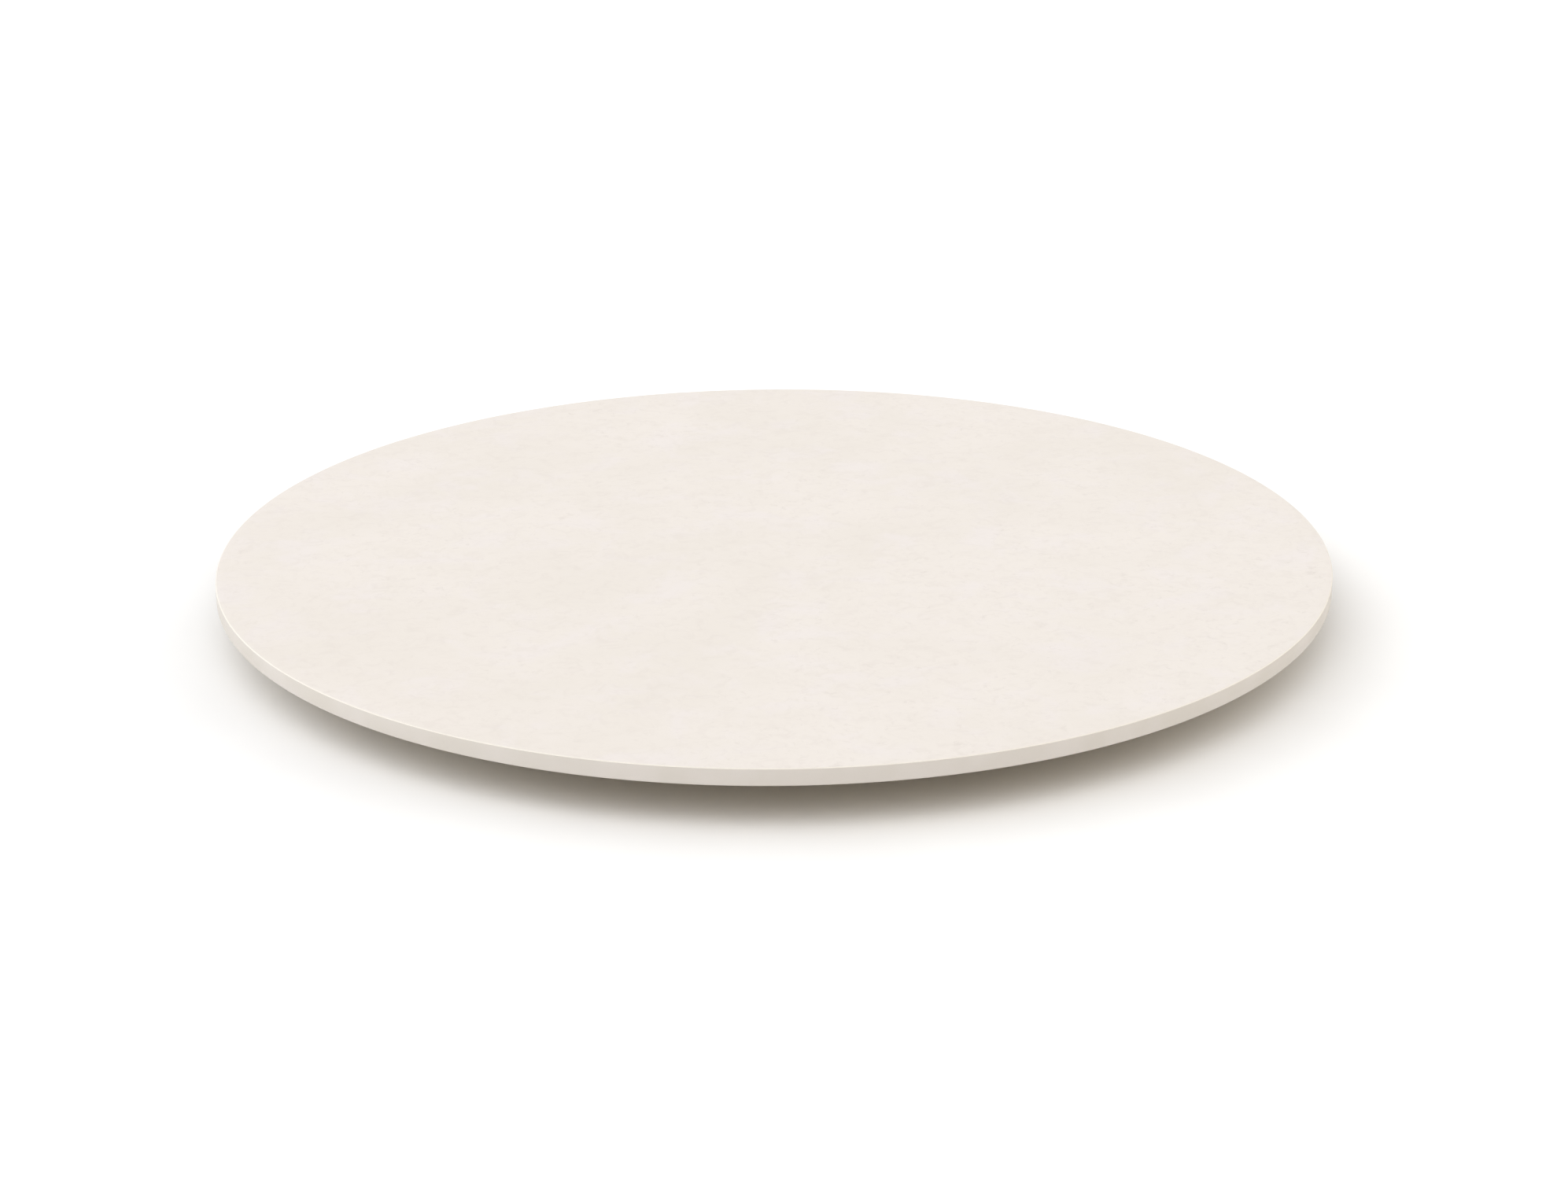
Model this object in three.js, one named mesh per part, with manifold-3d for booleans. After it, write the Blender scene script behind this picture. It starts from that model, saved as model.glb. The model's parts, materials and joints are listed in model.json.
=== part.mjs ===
// Lazy susan turntable: a round sintered-stone serving disc that spins on a ring bearing,
// over a smaller wooden base that stands on rubber feet.
//
// Millimetres, +Z up. The origin is on the spin axis, at the level of the table that the
// feet stand on. The feet carry the base, the base carries the fixed outer race, and the
// balls carry the inner race, which is screwed up into the stone through brass inserts.
import * as THREE from "three";
import { mergeVertices } from "three/addons/utils/BufferGeometryUtils.js";
import Module from "manifold-3d";

const wasm = await Module();
wasm.setup();

// ---------------------------------------------------------------- driving dimensions

// Serving disc
const discDiameter = 800;
const discThickness = 12;
const discArris = 0.6; // the ground 45 degree edge on both rims

// Base
const baseMargin = 25; // how far the base reaches past the outer race
const baseThickness = 16;
const baseChamfer = 1.5;

// Rubber feet
const footCount = 6;
const footDiameter = 32;
const footHeight = 5;
const footTaper = 1.5; // how much narrower, in radius, a foot is where it meets the table
const footInset = 26; // from the base's edge to a foot's centre
const footHeadRelief = 0.8; // from the table to the head of a foot's screw

// Ring bearing
const pitchDiameter = 360; // of the circle that the ball centres run on
const ballDiameter = 6;
const ballCount = 20;
const raceWidth = 18.7; // radial width of either race
const raceShoulder = 1.3; // least metal above or below a groove
const raceStep = 1.5; // how far one race stands proud of the other at each face
const raceChamfer = 0.8;
const cageThickness = 1.6;
const cageRail = 1.2; // web of the cage above and below a ball

// Threaded inserts in the stone, and the screws that hold the inner race to them
const insertCount = 6;
const insertDiameter = 8;
const insertLength = 7;
const discScrew = { diameter: 5, head: 10, socket: 3 };

// Wood screws that hold the outer race and the feet to the base
const raceScrewCount = 6;
const raceScrew = { diameter: 4, head: 8, socket: 2.4 };
const footScrew = { diameter: 4, head: 9, headHeight: 2.2, socket: 2.4 };
const woodGrip = 9.5; // how far either wood screw goes into the base
const accessHoleDiameter = 16; // in the base, for the driver that turns the disc screws

// Clearances
const grooveClearance = 0.2; // ball to race
const pocketClearance = 0.3; // ball to cage
const cageClearance = 0.5; // cage to race, on each side
const loadingClearance = 0.3; // radial, ball to the hole that the balls are loaded by
const holeClearance = 0.3; // radial, screw or insert to its hole
const holeRelief = 1; // how much deeper a blind hole is than what it holds
const headRelief = 0.2; // how far a sunk head lies below its face
const pocketRelief = 0.2; // how much deeper a pocket in the stone is than its insert
const recessClearance = 1; // radial, a foot screw's head to the recess that it lies in
const overshoot = 1; // how far a cutter reaches past the face that it opens

// Facets around a full turn
const discFacets = 144;
const baseFacets = 96;
const raceFacets = 90;
const footFacets = 16;
const screwFacets = 12;
const grooveFacets = 6; // along the arc of a groove

// ---------------------------------------------------------------- worked-out places

const baseBottomZ = footHeight;
const baseTopZ = baseBottomZ + baseThickness;
const ballRadius = ballDiameter / 2;
const grooveRadius = ballRadius + grooveClearance;
const raceHeight = 2 * (grooveRadius + raceShoulder) + raceStep;
const discBottomZ = baseTopZ + raceHeight + raceStep;
const discTopZ = discBottomZ + discThickness;
const ballZ = (baseTopZ + discBottomZ) / 2;

const pitchRadius = pitchDiameter / 2;
const raceGap = cageThickness + 2 * cageClearance;
const innerRace = {
  outerRadius: pitchRadius - raceGap / 2,
  innerRadius: pitchRadius - raceGap / 2 - raceWidth,
  bottomZ: baseTopZ + raceStep,
  topZ: discBottomZ,
};
const outerRace = {
  innerRadius: pitchRadius + raceGap / 2,
  outerRadius: pitchRadius + raceGap / 2 + raceWidth,
  bottomZ: baseTopZ,
  topZ: baseTopZ + raceHeight,
};
const grooveDepth = grooveRadius - raceGap / 2;
// The screws sit in the middle of the metal that the groove leaves.
const discScrewCircle = innerRace.innerRadius + (raceWidth - grooveDepth) / 2;
const raceScrewCircle = outerRace.outerRadius - (raceWidth - grooveDepth) / 2;
const baseRadius = outerRace.outerRadius + baseMargin;
const footCircle = baseRadius - footInset;
const footSeatZ = footScrew.headHeight + footHeadRelief;
const discScrewGrip = insertLength - holeRelief; // how far a disc screw goes into its insert
const loadingHoleRadius = ballRadius + loadingClearance;
const fillerRadius = loadingHoleRadius - holeClearance; // of the set screw that closes the hole

// ---------------------------------------------------------------- solids and geometries

// A closed manifold-3d solid of a three.js geometry.
function solid(geometry) {
  const bare = geometry.clone();
  bare.deleteAttribute("normal");
  bare.deleteAttribute("uv");
  const merged = mergeVertices(bare);
  return new wasm.Manifold(
    new wasm.Mesh({
      numProp: 3,
      vertProperties: merged.attributes.position.array,
      triVerts: new Uint32Array(merged.index.array),
    }),
  );
}

// The three.js geometry of a manifold-3d solid.
function geometryOf(body) {
  const mesh = body.getMesh();
  const geometry = new THREE.BufferGeometry();
  geometry.setAttribute("position", new THREE.BufferAttribute(mesh.vertProperties, 3));
  geometry.setIndex(new THREE.BufferAttribute(mesh.triVerts, 1));
  return geometry;
}

// Turns a profile of [radius, z] points round the Z axis. The points run anticlockwise with
// the radius to the right and z up, and start and end on the axis or close on themselves.
function turned(profile, facets) {
  const points = profile.map(([radius, z]) => new THREE.Vector2(radius, z));
  return new THREE.LatheGeometry(points, facets).rotateX(Math.PI / 2);
}

// A plain upright cylinder from z0 to z1.
function rod(radius, z0, z1, facets) {
  return solid(turned([[0, z0], [radius, z0], [radius, z1], [0, z1]], facets));
}

// A hexagonal driver socket, as a cutter that reaches from z0 to z1.
function hexSocket(acrossFlats, z0, z1) {
  return rod(acrossFlats / Math.sqrt(3), z0, z1, 6);
}

// The places of count copies, evenly round a circle, the first at startAngle.
function aroundCircle(count, radius, startAngle = 0) {
  return Array.from({ length: count }, (_, i) => {
    const angle = startAngle + (2 * Math.PI * i) / count;
    return { angle, x: radius * Math.cos(angle), y: radius * Math.sin(angle) };
  });
}

// Cuts a copy of the cutter from the body at each place.
function cutAtEach(body, cutter, places) {
  return places.reduce((rest, { x, y }) => rest.subtract(cutter.translate([x, y, 0])), body);
}

// Points of an arc from one angle to another, both in radians.
function arc(centreRadius, centreZ, radius, from, to, steps) {
  return Array.from({ length: steps + 1 }, (_, i) => {
    const angle = from + ((to - from) * i) / steps;
    return [centreRadius + radius * Math.cos(angle), centreZ + radius * Math.sin(angle)];
  });
}

// ---------------------------------------------------------------- patterns

const insertPlaces = aroundCircle(insertCount, discScrewCircle);
const raceScrewPlaces = aroundCircle(raceScrewCount, raceScrewCircle);
const footPlaces = aroundCircle(footCount, footCircle, Math.PI / footCount);
const ballPlaces = aroundCircle(ballCount, pitchRadius);
const accessHolePlace = insertPlaces[0];
const fillerAngle = Math.PI / raceScrewCount; // half-way between two race screws

// ---------------------------------------------------------------- screws and inserts

// How deep a 90 degree sunk head goes.
const sunkDepth = ({ head, diameter }) => (head - diameter) / 2;

// A sunk-head screw, its head's flat face at z = 0 and its shank pointing down.
function sunkScrew(size, length) {
  const shank = size.diameter / 2;
  const tip = shank / 2;
  const profile = [
    [0, -length],
    [shank - tip, -length],
    [shank, -length + tip],
    [shank, -sunkDepth(size)],
    [size.head / 2, 0],
    [0, 0],
  ];
  const socket = hexSocket(size.socket, -sunkDepth(size), overshoot);
  return solid(turned(profile, screwFacets)).subtract(socket);
}

// A pan-head screw, the seat under its head at z = 0 and its shank pointing up.
function panScrew(size, length) {
  const shank = size.diameter / 2;
  const tip = shank / 2;
  const edge = size.headHeight / 3;
  const profile = [
    [0, -size.headHeight],
    [size.head / 2 - edge, -size.headHeight],
    [size.head / 2, -size.headHeight + edge],
    [size.head / 2, 0],
    [shank, 0],
    [shank, length - tip],
    [shank - tip, length],
    [0, length],
  ];
  const socket = hexSocket(size.socket, -size.headHeight - overshoot, -size.headHeight / 3);
  return solid(turned(profile, screwFacets)).subtract(socket);
}

// The cutter for a sunk screw: the head's cone at faceZ, and a shank hole to endZ.
// up is 1 where the head faces up, and -1 where it faces down.
function sunkHole(size, faceZ, endZ, up) {
  const shank = size.diameter / 2 + holeClearance;
  const head = size.head / 2 + holeClearance;
  const coneZ = faceZ - up * (sunkDepth(size) + headRelief);
  const mouthZ = faceZ - up * headRelief;
  const outside = faceZ + up * overshoot;
  const profile = [
    [0, endZ],
    [shank, endZ],
    [shank, coneZ],
    [head, mouthZ],
    [head, outside],
    [0, outside],
  ];
  return solid(turned(up > 0 ? profile : profile.reverse(), screwFacets));
}

const discScrewLength = raceHeight + discScrewGrip - headRelief;
const raceScrewLength = raceHeight + woodGrip - headRelief;
const footScrewLength = footHeight - footSeatZ + woodGrip;

// A threaded insert, its mouth at z = 0 and its closed-off end up in the stone.
function insertGeometry() {
  const bore = discScrew.diameter / 2 + holeClearance / 2;
  const outer = insertDiameter / 2;
  const profile = [[bore, 0], [outer, 0], [outer, insertLength], [bore, insertLength], [bore, 0]];
  return turned(profile, screwFacets);
}

// ---------------------------------------------------------------- stone disc

function discGeometry() {
  const radius = discDiameter / 2;
  const profile = [
    [0, discBottomZ],
    [radius - discArris, discBottomZ],
    [radius, discBottomZ + discArris],
    [radius, discTopZ - discArris],
    [radius - discArris, discTopZ],
    [0, discTopZ],
  ];
  const pocket = rod(
    insertDiameter / 2 + holeClearance,
    discBottomZ - overshoot,
    discBottomZ + insertLength + pocketRelief,
    screwFacets,
  );
  return geometryOf(cutAtEach(solid(turned(profile, discFacets)), pocket, insertPlaces));
}

// ---------------------------------------------------------------- bearing

// Half the angle that a groove opens to, where its arc meets the race's flat side.
const grooveHalfAngle = Math.acos(raceGap / 2 / grooveRadius);

function innerRaceGeometry() {
  const { innerRadius, outerRadius, bottomZ, topZ } = innerRace;
  const groove = arc(
    pitchRadius,
    ballZ,
    grooveRadius,
    Math.PI + grooveHalfAngle,
    Math.PI - grooveHalfAngle,
    grooveFacets,
  );
  const profile = [
    [innerRadius, bottomZ + raceChamfer],
    [innerRadius + raceChamfer, bottomZ],
    [outerRadius, bottomZ],
    ...groove,
    [outerRadius, topZ],
    [innerRadius, topZ],
    [innerRadius, bottomZ + raceChamfer],
  ];
  const hole = sunkHole(discScrew, bottomZ, topZ + overshoot, -1);
  return geometryOf(cutAtEach(solid(turned(profile, raceFacets)), hole, insertPlaces));
}

function outerRaceGeometry() {
  const { innerRadius, outerRadius, bottomZ, topZ } = outerRace;
  const groove = arc(
    pitchRadius,
    ballZ,
    grooveRadius,
    grooveHalfAngle,
    -grooveHalfAngle,
    grooveFacets,
  );
  const profile = [
    [innerRadius, bottomZ],
    [outerRadius, bottomZ],
    [outerRadius, topZ - raceChamfer],
    [outerRadius - raceChamfer, topZ],
    [innerRadius, topZ],
    ...groove,
    [innerRadius, bottomZ],
  ];
  const hole = sunkHole(raceScrew, topZ, bottomZ - overshoot, 1);
  const ring = cutAtEach(solid(turned(profile, raceFacets)), hole, raceScrewPlaces);
  const loadingHole = radialRod(loadingHoleRadius, pitchRadius, outerRadius + overshoot);
  return geometryOf(ring.subtract(loadingHole.rotate([0, 0, THREE.MathUtils.radToDeg(fillerAngle)])));
}

// A cylinder along +X at the height of the balls, from one radius to another.
function radialRod(radius, fromRadius, toRadius) {
  return rod(radius, fromRadius, toRadius, screwFacets)
    .rotate([0, 90, 0])
    .translate([0, 0, ballZ]);
}

// The set screw that closes the loading hole. It stops short of the balls.
function fillerGeometry() {
  const { outerRadius } = outerRace;
  const innerEnd = pitchRadius + grooveRadius;
  const outerEnd = outerRadius - headRelief - raceChamfer;
  const socketDepth = (outerEnd - innerEnd) / 3;
  const socket = hexSocket(fillerRadius, outerEnd - socketDepth, outerEnd + overshoot)
    .rotate([0, 90, 0])
    .translate([0, 0, ballZ]);
  const plug = radialRod(fillerRadius, innerEnd, outerEnd).subtract(socket);
  return geometryOf(plug);
}

function cageGeometry() {
  const inner = pitchRadius - cageThickness / 2;
  const outer = pitchRadius + cageThickness / 2;
  const pocketRadius = ballRadius + pocketClearance;
  const bottomZ = ballZ - pocketRadius - cageRail;
  const topZ = ballZ + pocketRadius + cageRail;
  const profile = [[inner, bottomZ], [outer, bottomZ], [outer, topZ], [inner, topZ], [inner, bottomZ]];
  const pocket = radialRod(pocketRadius, inner - overshoot, outer + overshoot);
  const strip = solid(turned(profile, raceFacets));
  return geometryOf(
    ballPlaces.reduce(
      (rest, { angle }) => rest.subtract(pocket.rotate([0, 0, THREE.MathUtils.radToDeg(angle)])),
      strip,
    ),
  );
}

// ---------------------------------------------------------------- base and feet

function baseGeometry() {
  const profile = [
    [0, baseBottomZ],
    [baseRadius - baseChamfer, baseBottomZ],
    [baseRadius, baseBottomZ + baseChamfer],
    [baseRadius, baseTopZ - baseChamfer],
    [baseRadius - baseChamfer, baseTopZ],
    [0, baseTopZ],
  ];
  const racePilot = rod(
    raceScrew.diameter / 2 + holeClearance,
    baseTopZ - woodGrip - holeRelief,
    baseTopZ + overshoot,
    screwFacets,
  );
  const footPilot = rod(
    footScrew.diameter / 2 + holeClearance,
    baseBottomZ - overshoot,
    baseBottomZ + woodGrip + holeRelief,
    screwFacets,
  );
  const accessHole = rod(
    accessHoleDiameter / 2,
    baseBottomZ - overshoot,
    baseTopZ + overshoot,
    2 * screwFacets,
  );
  let body = solid(turned(profile, baseFacets));
  body = cutAtEach(body, racePilot, raceScrewPlaces);
  body = cutAtEach(body, footPilot, footPlaces);
  return geometryOf(cutAtEach(body, accessHole, [accessHolePlace]));
}

// A foot, its table face at z = 0, with a sunk seat for the head of its screw.
function footGeometry() {
  const top = footDiameter / 2;
  const bottom = top - footTaper;
  const seat = footScrew.head / 2 + recessClearance;
  const bore = footScrew.diameter / 2 + holeClearance;
  const profile = [
    [bore, footSeatZ],
    [seat, footSeatZ],
    [seat, 0],
    [bottom - footTaper / 2, 0],
    [bottom, footTaper / 2],
    [top, footHeight],
    [bore, footHeight],
    [bore, footSeatZ],
  ];
  return turned(profile, footFacets);
}

// ---------------------------------------------------------------- materials

const paint = (color, roughness, metalness = 0) =>
  new THREE.MeshStandardMaterial({ color, roughness, metalness });
const materials = {
  stone: paint(0xece3da, 0.55),
  aluminium: paint(0xc4c6c8, 0.4, 0.9),
  nylon: paint(0xe9e7df, 0.6),
  ballSteel: paint(0xd5d7da, 0.12, 1),
  zincSteel: paint(0xb4b6b4, 0.35, 1),
  brass: paint(0xc9a452, 0.35, 1),
  wood: paint(0x2a2826, 0.6),
  rubber: paint(0x1f1f20, 0.85),
};

// ---------------------------------------------------------------- assembly

const turntable = new THREE.Group();

function add(name, geometry, material, parent = turntable) {
  const mesh = new THREE.Mesh(geometry, material);
  mesh.name = name;
  parent.add(mesh);
  return mesh;
}

// One named mesh at each place, at the height z. flip turns each of them upside down.
function addAtEach(prefix, geometry, material, places, z, flip = false) {
  places.forEach(({ x, y }, i) => {
    const number = String(i + 1).padStart(places.length > 9 ? 2 : 1, "0");
    const mesh = add(`${prefix}_${number}`, geometry, material);
    mesh.position.set(x, y, z);
    mesh.rotation.x = flip ? Math.PI : 0;
  });
}

add("serving_disc", discGeometry(), materials.stone);
addAtEach("threaded_insert", insertGeometry(), materials.brass, insertPlaces, discBottomZ);
add("inner_race", innerRaceGeometry(), materials.aluminium);
addAtEach(
  "disc_screw",
  geometryOf(sunkScrew(discScrew, discScrewLength)),
  materials.zincSteel,
  insertPlaces,
  innerRace.bottomZ + headRelief,
  true,
);

add("ball_cage", cageGeometry(), materials.nylon);
const ballGeometry = new THREE.IcosahedronGeometry(ballRadius, 1);
addAtEach("ball", ballGeometry, materials.ballSteel, ballPlaces, ballZ);

add("outer_race", outerRaceGeometry(), materials.aluminium);
const filler = add("loading_hole_screw", fillerGeometry(), materials.zincSteel);
filler.rotation.z = fillerAngle;
addAtEach(
  "race_screw",
  geometryOf(sunkScrew(raceScrew, raceScrewLength)),
  materials.zincSteel,
  raceScrewPlaces,
  outerRace.topZ - headRelief,
);

add("base_disc", baseGeometry(), materials.wood);
addAtEach("foot", footGeometry(), materials.rubber, footPlaces, 0);
addAtEach(
  "foot_screw",
  geometryOf(panScrew(footScrew, footScrewLength)),
  materials.zincSteel,
  footPlaces,
  footSeatZ,
);

export default turntable;
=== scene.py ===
"""A lazy susan turntable: a round sintered-stone disc on a ring bearing over a low black base.

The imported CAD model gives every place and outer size. This script replaces its faceted solids
with smooth, detailed meshes, and adds the materials, the floor, the light and the camera.
Lengths are in metres. Angles are in degrees in the named values, arc() and direction(), and in
radians elsewhere, as Blender takes them.
"""
import json
import math

import bmesh
import bpy
from mathutils import Matrix, Vector

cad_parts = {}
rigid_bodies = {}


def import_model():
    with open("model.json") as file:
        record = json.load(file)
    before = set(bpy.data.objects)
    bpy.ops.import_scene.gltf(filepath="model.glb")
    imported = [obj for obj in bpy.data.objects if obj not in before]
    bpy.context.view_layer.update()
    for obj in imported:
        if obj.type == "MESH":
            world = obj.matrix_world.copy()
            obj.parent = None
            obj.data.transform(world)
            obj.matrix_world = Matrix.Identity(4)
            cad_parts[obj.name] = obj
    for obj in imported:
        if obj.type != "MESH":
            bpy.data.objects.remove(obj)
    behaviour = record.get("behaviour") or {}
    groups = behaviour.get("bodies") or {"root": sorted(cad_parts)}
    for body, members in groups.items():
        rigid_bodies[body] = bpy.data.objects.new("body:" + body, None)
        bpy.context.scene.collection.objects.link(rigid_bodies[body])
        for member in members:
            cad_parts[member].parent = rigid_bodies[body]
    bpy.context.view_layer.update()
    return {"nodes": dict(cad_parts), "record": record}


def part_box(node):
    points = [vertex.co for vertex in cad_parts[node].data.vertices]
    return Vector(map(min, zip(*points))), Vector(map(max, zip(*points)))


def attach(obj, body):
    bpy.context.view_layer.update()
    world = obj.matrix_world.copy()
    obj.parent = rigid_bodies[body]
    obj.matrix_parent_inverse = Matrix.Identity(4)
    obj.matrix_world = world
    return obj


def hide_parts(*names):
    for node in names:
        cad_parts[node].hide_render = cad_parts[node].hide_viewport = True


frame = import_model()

MM = 0.001

# ------------------------------------------------------------------ sizes the CAD boxes don't give

STONE_ARRIS = 0.6 * MM  # ground 45 degree edge of the disc
STONE_EDGE_ROUNDING = 0.12 * MM
POCKET_RELIEF = 0.2 * MM  # how much deeper a pocket in the stone is than its insert
RACE_WIDTH = 18.7 * MM
RACE_CHAMFER = 0.8 * MM
RACE_ROUNDING = 0.25 * MM
CAGE_ROUNDING = 0.3 * MM
HEAD_RELIEF = 0.2 * MM  # how far a sunk head lies below its face
BASE_EDGE_ROUNDING = 1.5 * MM
ACCESS_HOLE_DIAMETER = 16 * MM
WOOD_GRIP = 9.5 * MM  # how deep a wood screw goes into the base
PILOT_RELIEF = 1 * MM  # how much deeper its hole is
FOOT_TAPER = 1.5 * MM
FOOT_HEAD_HEIGHT = 2.2 * MM  # of the screw that holds a foot
RECESS_CLEARANCE = 1 * MM  # radial, that screw's head to the recess in the rubber
KNURL_DEPTH = 0.3 * MM
KNURLS = 24  # ridges round an insert

# Radial gaps.
POCKET_CLEARANCE = 0.3 * MM  # insert to stone
GROOVE_CLEARANCE = 0.2 * MM  # ball to groove
CAGE_CLEARANCE = 0.3 * MM  # ball to cage
LOADING_CLEARANCE = 0.3 * MM  # ball to loading hole
HOLE_CLEARANCE = 0.3 * MM  # screw to hole

# A screw's "thread" is the depth of its thread, and its "socket" is across the flats.
DISC_SCREW = {"shank": 5 * MM, "pitch": 0.8 * MM, "socket": 3 * MM, "thread": 0.45 * MM}
WOOD_SCREW = {"shank": 4 * MM, "pitch": 1.8 * MM, "socket": 2.4 * MM, "thread": 0.7 * MM}

# ------------------------------------------------------------------ how finely meshes are made

OVERSHOOT = 1 * MM  # how far a cutter reaches past the face that it opens
SMOOTH_ANGLE = 32  # faces that meet at less are shaded as one
DISC_SMOOTH_ANGLE = 50  # more, so that the disc's rounded arris has no hard lines
DISC_SEGMENTS = 360
RING_SEGMENTS = 288  # races, cage and base
FOOT_SEGMENTS = 96
ACCESS_SEGMENTS = 64
BORE_SEGMENTS = 48
SCREW_SEGMENTS = 32
PILOT_SEGMENTS = 24
KNURL_SEGMENTS = 4  # to each ridge
BALL_SUBDIVISIONS = 4
GROOVE_STEPS = 14
THREAD_STEPS = 5  # rings to a turn
DISC_RINGS = (0.25, 0.5, 0.75, 0.93)  # shares of the radius, where a flat face is split
DISC_LAST_RING = 0.985  # the same, next to the arris
BASE_RINGS = (0.5, 0.9)  # the same, for the base

# ------------------------------------------------------------------ floor, light and camera

FLOOR_SIZE = 40.0
WHITE = (1.0, 1.0, 1.0, 1.0)
# Linear. The paper drifts from one to the other.
FLOOR_COLOURS = ((0.87, 0.86, 0.857, 1.0), (0.885, 0.878, 0.875, 1.0))

# The sky dome: an even light and soft lobes, each (azimuth, elevation, sharpness, colour).
# Azimuth 0 is on the camera's side and 90 on its right.
DOME_EVEN = (0.2, 0.2, 0.2)
DOME_LOBES = (
    (0, 50, 10, (2.9, 2.9, 2.9)),
    (-45, 50, 10, (1.3, 1.3, 1.3)),
    (-90, 20, 8, (2.5, 2.6, 2.65)),
    (-135, 20, 8, (1.5, 1.5, 1.5)),
    (180, 20, 8, (0.6, 0.6, 0.6)),
    (135, 20, 8, (1.1, 1.1, 1.05)),
    (90, 20, 8, (2.3, 2.2, 2.0)),
)
FILL_POWER = 20  # in watts, of the light under the floor
FILL_SIZE = 2.0
FILL_DEPTH = 1.5

CAMERA_ELEVATION = 20.26
CAMERA_ROLL = 0.336
CAMERA_DISTANCE = 2.567
CAMERA_LENS = 81.3  # in mm, as Blender takes it
CAMERA_SENSOR = 36  # in mm, its width
CAMERA_REACH = 100  # past the far corner of the floor
CAMERA_AIM = Vector((7.0, -5.9, 17.1)) * MM

# The pieces that the light under the floor reaches: how their names start.
UNDERSIDE = ("base_board", "rubber_foot", "pan_wood_screw", "fixed_race", "machine_screw")


# ------------------------------------------------------------------ profiles

def arc(centre_r, centre_z, radius, start, end, steps):
    """Points of an arc in the (radius, z) plane, from one angle to another."""
    angles = [math.radians(start + (end - start) * i / steps) for i in range(steps + 1)]
    return [(centre_r + radius * math.cos(a), centre_z + radius * math.sin(a)) for a in angles]


def flat_face(radius, shares, z):
    """The points of a flat round face from its middle outwards, at shares of its radius."""
    return [(0, z)] + [(radius * share, z) for share in shares]


def rounded(profile, radius, steps=3, closed=False):
    """The profile with its corners rounded. An open profile keeps its two end points."""
    nearly_straight = math.radians(80)  # a corner with a larger half angle is left as it is
    most_of_side = 0.45  # the share of a side that one corner's rounding may take
    count = len(profile)
    out = []
    for i, point in enumerate(profile):
        if not closed and i in (0, count - 1):
            out.append(point)
            continue
        corner = Vector(point)
        before = Vector(profile[i - 1]) - corner
        after = Vector(profile[(i + 1) % count]) - corner
        half = before.angle(after) / 2
        if half > nearly_straight:
            out.append(point)
            continue
        shorter = min(before.length, after.length)
        reach = min(radius / math.tan(half), shorter * most_of_side)
        start = corner + before.normalized() * reach
        end = corner + after.normalized() * reach
        for step in range(steps + 1):
            t = step / steps
            bent = start * (1 - t) ** 2 + corner * 2 * t * (1 - t) + end * t * t
            out.append((bent.x, bent.y))
    return out


# ------------------------------------------------------------------ meshes

def mesh_object(name, vertices, faces, smooth_angle=SMOOTH_ANGLE):
    """A new object of these vertices and faces, with its normals pointing out."""
    mesh = bpy.data.meshes.new(name)
    mesh.from_pydata(vertices, [], faces)
    piece = bpy.data.objects.new(name, mesh)
    bpy.context.scene.collection.objects.link(piece)
    tidy(piece, smooth_angle)
    return piece


def tidy(piece, smooth_angle=SMOOTH_ANGLE):
    """Merges doubled points, turns the faces outwards and shades soft edges smooth."""
    same_point = 1e-7
    work = bmesh.new()
    work.from_mesh(piece.data)
    bmesh.ops.remove_doubles(work, verts=work.verts, dist=same_point)
    bmesh.ops.recalc_face_normals(work, faces=work.faces)
    work.to_mesh(piece.data)
    work.free()
    piece.data.polygons.foreach_set("use_smooth", [True] * len(piece.data.polygons))
    piece.data.set_sharp_from_angle(angle=math.radians(smooth_angle))


def ring_grid(name, rings, segments, closed, smooth_angle=SMOOTH_ANGLE):
    """Joins rings into a surface round Z. A ring is a function: angle in, (radius, z) out."""
    on_axis = 1e-9
    vertices = []
    starts = []
    for ring in rings:
        starts.append(len(vertices))
        if ring(0.0)[0] < on_axis:
            vertices.append((0, 0, ring(0.0)[1]))
            continue
        for place in range(segments):
            angle = 2 * math.pi * place / segments
            radius, z = ring(angle)
            vertices.append((radius * math.cos(angle), radius * math.sin(angle), z))
    starts.append(len(vertices))
    faces = []
    pairs = [(i, i + 1) for i in range(len(rings) - 1)]
    if closed:
        pairs.append((len(rings) - 1, 0))
    for i, j in pairs:
        i_is_point = starts[i + 1] - starts[i] == 1
        j_is_point = starts[j + 1] - starts[j] == 1
        for here in range(segments):
            beyond = (here + 1) % segments
            one_side = [starts[i]] if i_is_point else [starts[i] + here, starts[i] + beyond]
            other_side = [starts[j]] if j_is_point else [starts[j] + beyond, starts[j] + here]
            faces.append(one_side + other_side)
    return mesh_object(name, vertices, faces, smooth_angle)


def turned(name, profile, segments, closed=False, smooth_angle=SMOOTH_ANGLE):
    """A profile of (radius, z) points turned round the Z axis."""
    return ring_grid(name, [still(point) for point in profile], segments, closed, smooth_angle)


def still(point):
    """A ring for ring_grid that is the same all round."""
    return lambda angle: point


def sphere(name, radius, subdivisions):
    """A ball round the origin, of smooth triangles."""
    work = bmesh.new()
    bmesh.ops.create_icosphere(work, subdivisions=subdivisions, radius=radius)
    mesh = bpy.data.meshes.new(name)
    work.to_mesh(mesh)
    work.free()
    piece = bpy.data.objects.new(name, mesh)
    bpy.context.scene.collection.objects.link(piece)
    mesh.polygons.foreach_set("use_smooth", [True] * len(mesh.polygons))
    return piece


def bake_place(piece):
    """Puts the object's transform into its mesh."""
    bpy.context.view_layer.update()
    piece.data.transform(piece.matrix_world)
    piece.matrix_world = Matrix.Identity(4)


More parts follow.
